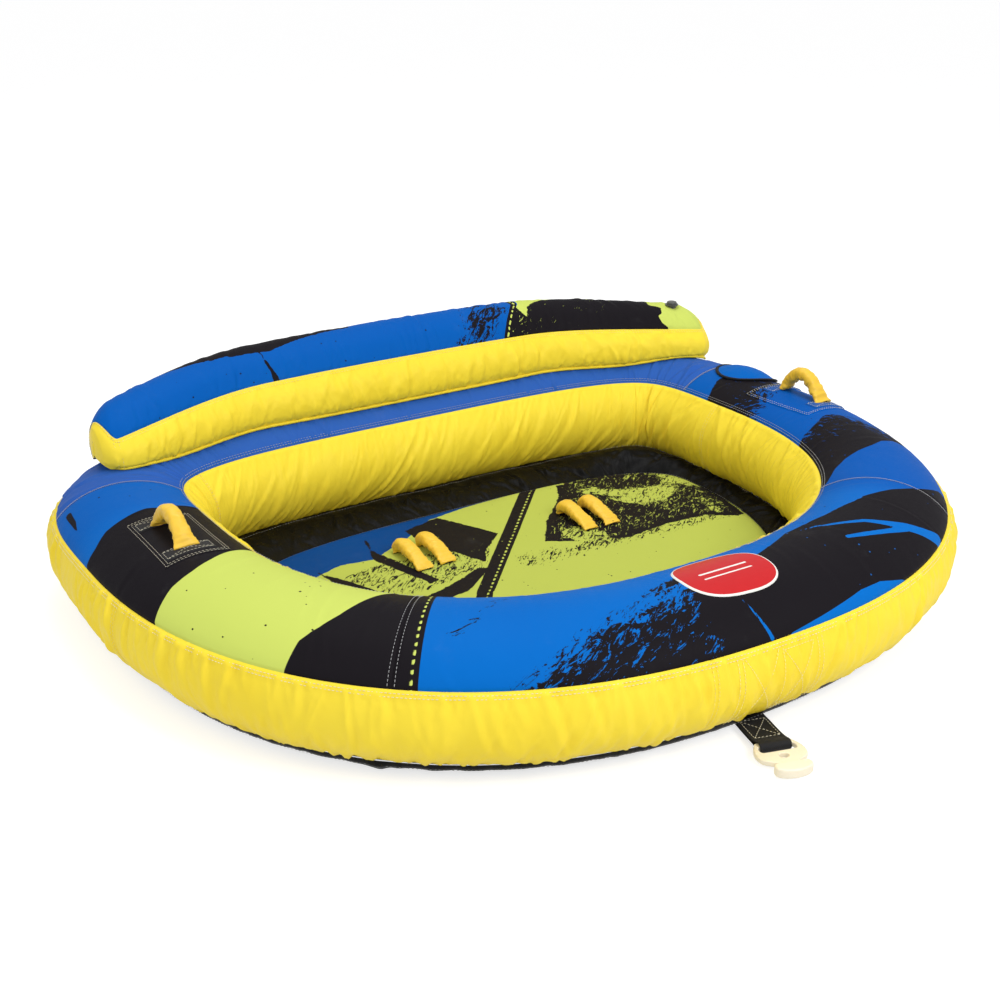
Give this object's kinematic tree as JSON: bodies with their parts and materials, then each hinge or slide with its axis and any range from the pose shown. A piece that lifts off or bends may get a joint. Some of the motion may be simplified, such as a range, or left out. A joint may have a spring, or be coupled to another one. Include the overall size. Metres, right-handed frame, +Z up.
{
  "type": "towable tube",
  "caption": "Inflatable towable tube for seated riders: a cloth-covered ring with a floor, a long backrest bolster, grab handles and a tow strap with a hook.",
  "frame": {"origin": "on the ground, under the middle of the whole tube's box", "axes": "+X across to the riders' side that carries the ring valve, -Y ahead to the tow point, +Y to the backrest, +Z up"},
  "size_m": [1.7468, 1.5392, 0.3896],
  "materials": {
    "print_blue": "satin printed polyester",
    "royal_blue": "satin polyester",
    "band_yellow": "satin nylon, gathered",
    "black_cloth": "matt coated cloth",
    "lime_print": "satin printed polyester",
    "bladder_film": "smooth vinyl film",
    "grip_yellow": "padded cloth",
    "webbing": "woven webbing",
    "valve_plastic": "gloss",
    "hook_plastic": "semi-gloss moulded",
    "badge": "printed, white border",
    "zip_metal": "plated"
  },
  "bodies": {
    "tube": {"backrest_base_panel": "black_cloth", "backrest_bladder": "bladder_film", "backrest_front_band": "band_yellow", "backrest_piping": "band_yellow", "backrest_top_panel": "print_blue", "backrest_valve_body": "valve_plastic", "floor_bladder": "bladder_film", "floor_bottom_sheet": "black_cloth", "floor_skirt": "black_cloth", "floor_top_sheet": "lime_print", "floor_valve_body": "valve_plastic", "front_badge": "badge", "inner_wall_front": "band_yellow", "inner_wall_rear": "band_yellow", "left_ring_handle_anchor_front": "webbing", "left_ring_handle_anchor_rear": "webbing", "left_ring_handle_patch": "black_cloth", "outer_band_front_left": "band_yellow", "outer_band_front_right": "band_yellow", "outer_band_rear": "band_yellow", "right_ring_handle_anchor_front": "webbing", "right_ring_handle_anchor_rear": "webbing", "right_ring_handle_patch": "print_blue", "ring_bladder": "bladder_film", "ring_bottom_panel": "black_cloth", "ring_top_panel_front": "print_blue", "ring_top_panel_left": "print_blue", "ring_top_panel_rear": "royal_blue", "ring_top_panel_right": "print_blue", "ring_valve_body": "valve_plastic", "tow_anchor_webbing": "webbing", "zip_tape": "black_cloth"},
    "valve_flap": {"valve_flap": "print_blue", "valve_flap_binding": "black_cloth"},
    "ring_valve_cap": {"ring_valve_cap": "valve_plastic"},
    "backrest_valve_cap": {"backrest_valve_cap": "valve_plastic"},
    "floor_valve_cap": {"floor_valve_cap": "valve_plastic"},
    "left_ring_handle": {"left_ring_handle_grip": "grip_yellow", "left_ring_handle_webbing": "webbing"},
    "right_ring_handle": {"right_ring_handle_grip": "grip_yellow", "right_ring_handle_webbing": "webbing"},
    "deck_handle_1": {"deck_handle_1_grip": "grip_yellow", "deck_handle_1_webbing": "webbing"},
    "deck_handle_2": {"deck_handle_2_grip": "grip_yellow", "deck_handle_2_webbing": "webbing"},
    "deck_handle_3": {"deck_handle_3_grip": "grip_yellow", "deck_handle_3_webbing": "webbing"},
    "deck_handle_4": {"deck_handle_4_grip": "grip_yellow", "deck_handle_4_webbing": "webbing"},
    "tow_strap": {"tow_strap": "webbing"},
    "tow_hook": {"tow_hook": "hook_plastic"},
    "zip_slider": {"zip_slider": "zip_metal"}
  },
  "joints": [
    {"name": "valve_flap_lift", "type": "hinge", "parent": "tube", "child": "valve_flap", "pos_m": [0.757, 0.35465, 0.24253], "axis": [-1, 0, 0], "range_deg": [0, 140]},
    {"name": "ring_valve_cap_turn", "type": "hinge", "parent": "tube", "child": "ring_valve_cap", "pos_m": [0.744, 0.28665, 0.24355], "axis": [0, 0, 1], "range_deg": [0, 360]},
    {"name": "backrest_valve_cap_turn", "type": "hinge", "parent": "tube", "child": "backrest_valve_cap", "pos_m": [0.728, 0.53165, 0.35756], "axis": [0, 0, 1], "range_deg": [0, 360]},
    {"name": "floor_valve_cap_turn", "type": "hinge", "parent": "tube", "child": "floor_valve_cap", "pos_m": [0.3, -0.10335, 0.00525], "axis": [0, 0, -1], "range_deg": [0, 360]},
    {"name": "left_ring_handle_swing", "type": "hinge", "parent": "tube", "child": "left_ring_handle", "pos_m": [-0.724, 0.11665, 0.25383], "axis": [0, 1, 0], "range_deg": [-55, 55]},
    {"name": "right_ring_handle_swing", "type": "hinge", "parent": "tube", "child": "right_ring_handle", "pos_m": [0.742, 0.08065, 0.25263], "axis": [0, 1, 0], "range_deg": [-55, 55]},
    {"name": "deck_handle_1_swing", "type": "hinge", "parent": "tube", "child": "deck_handle_1", "pos_m": [-0.218, 0.18165, 0.04665], "axis": [0, 1, 0], "range_deg": [-55, 55]},
    {"name": "deck_handle_2_swing", "type": "hinge", "parent": "tube", "child": "deck_handle_2", "pos_m": [-0.163, 0.18365, 0.04665], "axis": [0, 1, 0], "range_deg": [-55, 55]},
    {"name": "deck_handle_3_swing", "type": "hinge", "parent": "tube", "child": "deck_handle_3", "pos_m": [0.176, 0.16265, 0.04665], "axis": [0, 1, 0], "range_deg": [-55, 55]},
    {"name": "deck_handle_4_swing", "type": "hinge", "parent": "tube", "child": "deck_handle_4", "pos_m": [0.232, 0.16065, 0.04665], "axis": [0, 1, 0], "range_deg": [-55, 55]},
    {"name": "tow_strap_swing", "type": "hinge", "parent": "tube", "child": "tow_strap", "pos_m": [-0.02, -0.58635, 0.00755], "axis": [-0.9563, 0.2924, 0], "range_deg": [-75, 12]},
    {"name": "tow_hook_swing", "type": "hinge", "parent": "tow_strap", "child": "tow_hook", "pos_m": [-0.05041, -0.68581, 0.01035], "axis": [-0.9563, 0.2924, 0], "range_deg": [-60, 30]},
    {"name": "zip_slider_travel", "type": "slide", "parent": "tube", "child": "zip_slider", "axis": [1, 0, 0], "range_m": [0, 0.4]}
  ]
}
